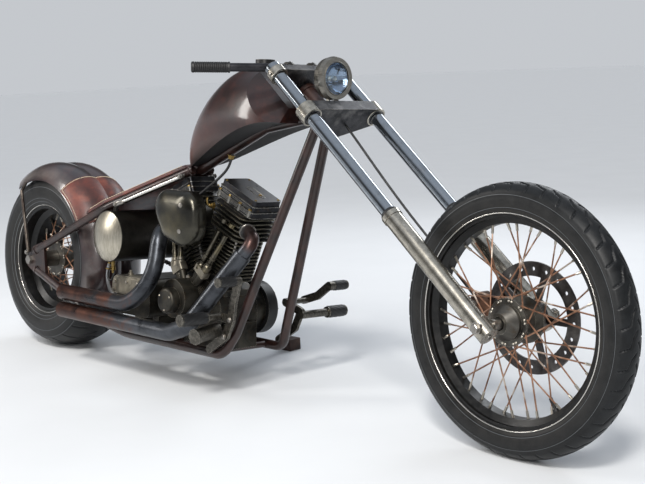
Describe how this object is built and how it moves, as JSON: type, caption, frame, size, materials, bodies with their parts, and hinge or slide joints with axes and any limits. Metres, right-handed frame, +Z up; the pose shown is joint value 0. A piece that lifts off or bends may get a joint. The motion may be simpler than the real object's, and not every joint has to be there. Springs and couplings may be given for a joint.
{
  "type": "chopper motorcycle",
  "caption": "Low long-fork custom motorcycle with a V-twin engine, rigid rear frame, wire wheels and a fat rear tyre, leaning on its side stand.",
  "frame": {"origin": "centre of the bottom of the whole bike's box, on the floor it leans on", "axes": "+X forwards along the bike, +Y to the bike's left, +Z up from the floor"},
  "size_m": [2.7778, 0.742, 1.0325],
  "materials": {
    "frame_paint": "lacquered, worn",
    "tyre_rubber": "matt, dusty",
    "rim_black": "satin, worn edge",
    "spoke_steel": "rusty",
    "hub_alloy": "dull",
    "disc_steel": "stained",
    "fork_chrome": "polished",
    "slider_alloy": "brushed, aged",
    "yoke_iron": "hammered",
    "axle_steel": "dull",
    "bar_steel": "satin",
    "grip_rubber": "matt",
    "lens_glass": "clear",
    "caliper_iron": "rusty",
    "pad_leather": "waxed",
    "seat_leather": "waxed",
    "oil_steel": "aged",
    "engine_alloy": "stained",
    "rocker_metal": "satin",
    "cleaner_metal": "bronzed",
    "primary_black": "satin",
    "chain_steel": "oily",
    "exhaust_steel": "blued and rusty",
    "control_alloy": "worn",
    "stand_steel": "satin"
  },
  "bodies": {
    "frame": {"head_tube": "frame_paint", "backbone": "frame_paint", "axle_plates": "frame_paint", "cradle_tubes": "frame_paint", "seat_rails": "frame_paint", "cross_members": "frame_paint", "rear_axle": "axle_steel", "fuel_tank": "frame_paint", "filler_cap": "axle_steel", "rear_fender": "frame_paint", "fender_pad": "pad_leather", "seat_pad": "seat_leather", "fender_stays": "axle_steel", "seat_struts": "fork_chrome", "oil_tank": "oil_steel", "crankcase": "engine_alloy", "cylinders": "engine_alloy", "rocker_boxes": "rocker_metal", "cam_cover": "engine_alloy", "pushrod_tubes": "engine_alloy", "air_cleaner": "cleaner_metal", "carburettor": "engine_alloy", "gearbox": "engine_alloy", "primary_case": "primary_black", "drive_chain": "chain_steel", "exhaust_pipes": "exhaust_steel", "foot_controls": "control_alloy"},
    "steering": {"lower_yoke": "yoke_iron", "upper_yoke": "yoke_iron", "fork_tubes": "fork_chrome", "fork_sliders": "slider_alloy", "front_axle": "axle_steel", "handlebar": "bar_steel", "grips": "grip_rubber", "lamp_shell": "slider_alloy", "lamp_lens": "lens_glass", "brake_caliper": "caliper_iron", "brake_hose": "grip_rubber"},
    "front_wheel": {"front_tyre": "tyre_rubber", "front_rim": "rim_black", "front_hub": "hub_alloy", "front_spokes": "spoke_steel", "front_brake_disc": "disc_steel"},
    "rear_wheel": {"rear_tyre": "tyre_rubber", "rear_rim": "rim_black", "rear_hub": "hub_alloy", "rear_spokes": "spoke_steel", "rear_sprocket": "disc_steel"},
    "side_stand": {"side_stand": "stand_steel"}
  },
  "joints": [
    {"name": "steering_turn", "type": "hinge", "parent": "frame", "child": "steering", "pos_m": [0.3506, -0.01481, 0.84523], "axis": [-0.7705, 0.0594, 0.6346], "range_deg": [-25.9, 30.1]},
    {"name": "front_wheel_spin", "type": "hinge", "parent": "steering", "child": "front_wheel", "pos_m": [1.03903, -0.06327, 0.3494], "axis": [0.0234, 0.9976, -0.0651], "continuous": true},
    {"name": "rear_wheel_spin", "type": "hinge", "parent": "frame", "child": "rear_wheel", "pos_m": [-1.06095, -0.06331, 0.32734], "axis": [0, 0.9956, -0.0932], "continuous": true},
    {"name": "side_stand_fold", "type": "hinge", "parent": "frame", "child": "side_stand", "pos_m": [-0.22095, 0.06777, 0.08607], "axis": [-0.0978, 0.2769, 0.9559], "range_deg": [0, 75]}
  ]
}
